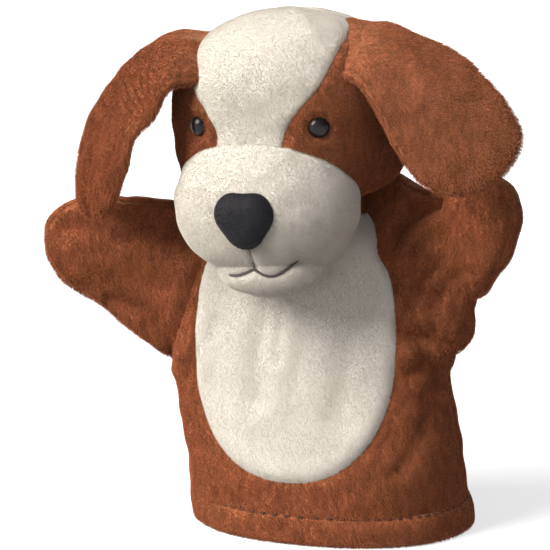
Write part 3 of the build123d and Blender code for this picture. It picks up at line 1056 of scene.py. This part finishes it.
def make_mouth():
    """The mouth and the line under the nose, in dark thread pulled into the muzzle."""
    midline = [(0.0, z) for z in np.linspace(MIDLINE_TOP, MOUTH_MIDDLE, 12)]
    parts = []
    for name, line, radius, sink in (("mouth_line", mouth_path(), 0.6, 0.55),
                                     ("under_nose", midline, 0.4, 0.8)):
        path = np.array([on_front(x, z) for x, z in line])
        parts.append(tube(name, path - normals_of(head_field, path) * sink, radius, DARK_THREAD))
    declare(joined("mouth_thread", parts), "head", "mouth_stitching")


# ---- ears

# each ear by pairs of points on its upper and its lower edge, from the root to the tip
EAR_EDGES = {
    "left": [((5, 4, 238), (9, -33, 219)),
             ((33, -14, 239), (20, -42, 219)),
             ((56, -22, 234), (29, -47, 208)),
             ((78, -32, 221), (37, -49, 195)),
             ((95, -39, 200), (48, -51, 178)),
             ((99, -43, 184), (56, -53, 164))],
    "right": [((-57, 2, 228), (-56, -34, 213)),
              ((-74, -2, 229), (-66, -42, 212)),
              ((-99, -3, 208), (-76, -45, 197)),
              ((-112, -6, 184), (-83, -49, 189)),
              ((-117, -10, 165), (-85, -50, 178)),
              ((-117, -14, 152), (-88, -48, 164)),
              ((-114, -16, 142), (-92, -46, 151))],
}
EAR_CROWN = {"left": 5.0, "right": 6.0}  # how far the middle stands out of the edges' plane
EAR_THICKNESS, LINING_INSET = 5.0, 3.5
EAR_ROUND_FROM = 0.72  # where the tip's rounding starts


def ear_frame_at(side, s):
    """The ear's middle, half width and way out, at shares s of its length."""
    pairs = np.array(EAR_EDGES[side], float)
    middle = pairs.mean(1)
    steps = np.linalg.norm(np.diff(middle, axis=0), axis=1)
    places = np.concatenate([[0], np.cumsum(steps)])
    places /= places[-1]
    upper = curve_through(*zip(places, pairs[:, 0]))(s)
    lower = curve_through(*zip(places, pairs[:, 1]))(s)
    centre = (upper + lower) / 2
    half = (upper - lower) / 2
    out = units(np.cross(np.gradient(centre, s, axis=0), half) * SIDES[side])
    if out[len(out) // 2][1] > 0:
        out = -out
    return centre, half, out


def ear_relief(side, s, v):
    """Folds of an ear's outer face, at a share s of its length and v across it."""
    roll = 0.5 * ridge(v + 0.95, 0.05) - 0.7 * ridge(v + 0.84, 0.05)
    if side == "left":
        return roll + 1.0 * ridge(v - 0.15, 0.3) * ridge(s - 0.45, 0.3)
    fold = 4.5 * ridge(v - 0.3 + 0.25 * s, 0.22) * min(1.0, s / 0.25)
    squeezed = ridge(s - 0.34, 0.17) * ridge(v + 0.4, 0.45)
    wrinkles = 1.2 * np.sin(2 * math.pi * (s * 24 + v * 1.8 + 0.3 * np.sin(5 * v + 14 * s)))
    return 0.5 * roll + fold + squeezed * wrinkles


def ear_leaf(side, name, inset, low, high):
    """One closed layer of an ear between two distances off its middle surface."""
    rows, columns = ((90, 52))
    s = 1 - (1 - np.linspace(0, 1, rows)) ** 1.6
    centre, half, out = ear_frame_at(side, s)
    width = np.linalg.norm(half, axis=1)
    tip = np.clip((s - EAR_ROUND_FROM) / (1 - EAR_ROUND_FROM), 0, 1)
    closing = np.maximum((1 - tip**2.5), 0) ** (1 / 2.2)
    v = np.sin(np.linspace(-math.pi / 2, math.pi / 2, columns))
    middle = (low + high) / 2
    top, bottom = [], []
    for i in range(rows):
        reach = closing[i] * np.maximum(0, 1 - inset / width[i])
        # the middle stands out, less near the root and the tip
        crown = EAR_CROWN[side] * (1 - (v * reach) ** 2) * (0.35 + 0.65 * min(1, 3 * s[i]))
        crown = crown * (1 - 0.6 * tip[i] ** 2)
        row = centre[i] + np.outer(v * reach, half[i]) + np.outer(crown, out[i])
        # the leaf thins out at its rim
        rim = np.sqrt(np.maximum(0, 1 - np.abs(v) ** 8)) * min(1.0, closing[i] * 1.4)
        lift = middle + (high - middle) * rim + ear_relief(side, s[i], v) * rim
        top.append(row + np.outer(lift, out[i]))
        bottom.append(row + np.outer(middle + (low - middle) * rim, out[i]))
    shift = rows * columns
    upper = grid_faces(rows, columns, around=False)
    lower = grid_faces(rows, columns, first=shift, flip=True, around=False)
    faces = [face for pair in zip(upper, lower) for face in pair]
    for j in range(columns - 1):
        end = shift - columns + j
        faces.append([j, shift + j, shift + j + 1, j + 1])
        faces.append([end, end + 1, shift + end + 1, shift + end])
    obj = make_mesh(name, np.concatenate(top + bottom), faces, BROWN)
    clean(obj, weld=0.05)
    points = np.array([v.co for v in obj.data.vertices]) / MM
    normals = np.array([v.normal for v in obj.data.vertices])
    lumps = 0.5 * ripple(points, 18, 31) + 0.3 * ripple(points, 7, 32)
    lumps = lumps * (0.3 if inset else 1.0)
    obj.data.vertices.foreach_set("co", ((points + normals * lumps[:, None]) * MM).ravel())
    obj.data.update()
    return obj


def make_ear(side):
    """A floppy ear: a brown outer leaf and a lining, hung from its seam on the head."""
    centre, _, _ = ear_frame_at(side, np.linspace(0, 1, 40))
    back = -0.45 * EAR_THICKNESS
    outer = ear_leaf(side, f"ear_{side}_flap_outer", 0.0, back, back + EAR_THICKNESS)
    lining = ear_leaf(side, f"ear_{side}_flap_lining", LINING_INSET, back - 1.2, -1.0)
    brushed = tuple(unit(centre[30] - centre[4]) * 0.7)
    add_pile(outer, PILE * 1.15, brushed)
    add_pile(lining, PILE * 0.7, brushed)
    for obj, node in ((outer, "outer"), (lining, "lining")):
        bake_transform(obj)
        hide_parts(f"ear_{side}_{node}")


# ---- CAD nodes that stay

def dress_nodes():
    """Materials for the CAD pieces whose shape is right as it is."""
    finishes = {"finger_pocket": LINING, "side_seam_left": BROWN, "side_seam_right": BROWN}
    for side in SIDES:
        finishes[f"eye_{side}"] = EYE
        finishes[f"eye_washer_{side}"] = WASHER
    for node, material in finishes.items():
        obj = frame["nodes"][node]
        for slot in obj.material_slots:
            slot.material = material


# ---- stage, lights, camera

def make_stage():
    """A plain pale floor to the horizon: it glows a little, and throws no light back up."""
    bpy.ops.mesh.primitive_plane_add(size=30)
    floor = bpy.context.object
    floor.name = "studio_floor"
    n = Nodes("studio_paper")
    grain = n.noise(n.place(), 400.0)
    base = n.ramp(grain, [(0.3, grey(0.68)), (0.7, grey(0.70))])
    floor.data.materials.append(n.finish(Base_Color=base, Roughness=0.9, Specular_IOR_Level=0.1,
                                         Emission_Color=(1, 1, 1, 1), Emission_Strength=0.66))
    floor.visible_diffuse = False


def soft_sun(name, azimuth, elevation, spread, strength, colour):
    """A broad, distant soft light; azimuth 0 is in front of the puppet, in degrees."""
    light = bpy.data.lights.new(name, "SUN")
    light.angle = math.radians(spread)
    light.energy = strength
    light.color = colour
    obj = bpy.data.objects.new(name, light)
    point_at(obj, direction(azimuth, elevation))
    bpy.context.scene.collection.objects.link(obj)


def direction(azimuth, elevation):
    """The way towards a light or camera, from two angles in degrees."""
    a, e = math.radians(azimuth), math.radians(elevation)
    return np.array([math.sin(a) * math.cos(e), -math.cos(a) * math.cos(e), math.sin(e)])


def point_at(obj, away):
    """Turns a light or camera so that it looks along -away."""
    obj.rotation_euler = Vector(away).to_track_quat("Z", "Y").to_euler()


TARGET = np.array([-0.0295, 0.003, 0.1150])
CAMERA_AZIMUTH, CAMERA_ELEVATION = 14.0, 15.0
VIEW_WIDTH, LENS, SENSOR = 0.257, 300.0, 36.0


def make_camera():
    """A long lens, a little above the puppet and towards its left."""
    camera = bpy.data.cameras.new("camera")
    camera.lens, camera.sensor_width = LENS, SENSOR
    way = direction(CAMERA_AZIMUTH, CAMERA_ELEVATION)
    obj = bpy.data.objects.new("camera", camera)
    obj.location = TARGET + way * VIEW_WIDTH * LENS / SENSOR
    point_at(obj, way)
    bpy.context.scene.collection.objects.link(obj)
    bpy.context.scene.camera = obj


def make_lights():
    """A soft sun from the front left, a weak one in front, and a dim sky with a white horizon."""
    n = Nodes("studio", bpy.data.worlds, "Background")
    way = n.add("ShaderNodeTexCoord").outputs["Generated"]
    height = n.add("ShaderNodeSeparateXYZ", {0: way}).outputs["Z"]
    lift = n.add("ShaderNodeMapRange", {0: height, "From Min": -1.0}).outputs[0]
    sky = n.ramp(lift, [(0.48, (0.20, 0.18, 0.17)), (0.49, grey(1.0)), (0.57, grey(1.0)),
                        (0.60, (0.15, 0.155, 0.175))])
    bpy.context.scene.world = n.finish(Color=sky, Strength=1.0)
    soft_sun("key", -56, 36, 36, 5.4, (1.0, 0.96, 0.89))
    soft_sun("fill", 15, 20, 60, 0.3, (1.0, 0.95, 0.90))
    bpy.context.scene.view_settings.view_transform = "Standard"


# ---- the puppet

make_stage()
make_camera()
make_lights()
make_body()
make_hem()
make_stitches()
make_head()
make_filling()
make_nose()
make_mouth()
for ear_side in SIDES:
    make_ear(ear_side)
dress_nodes()
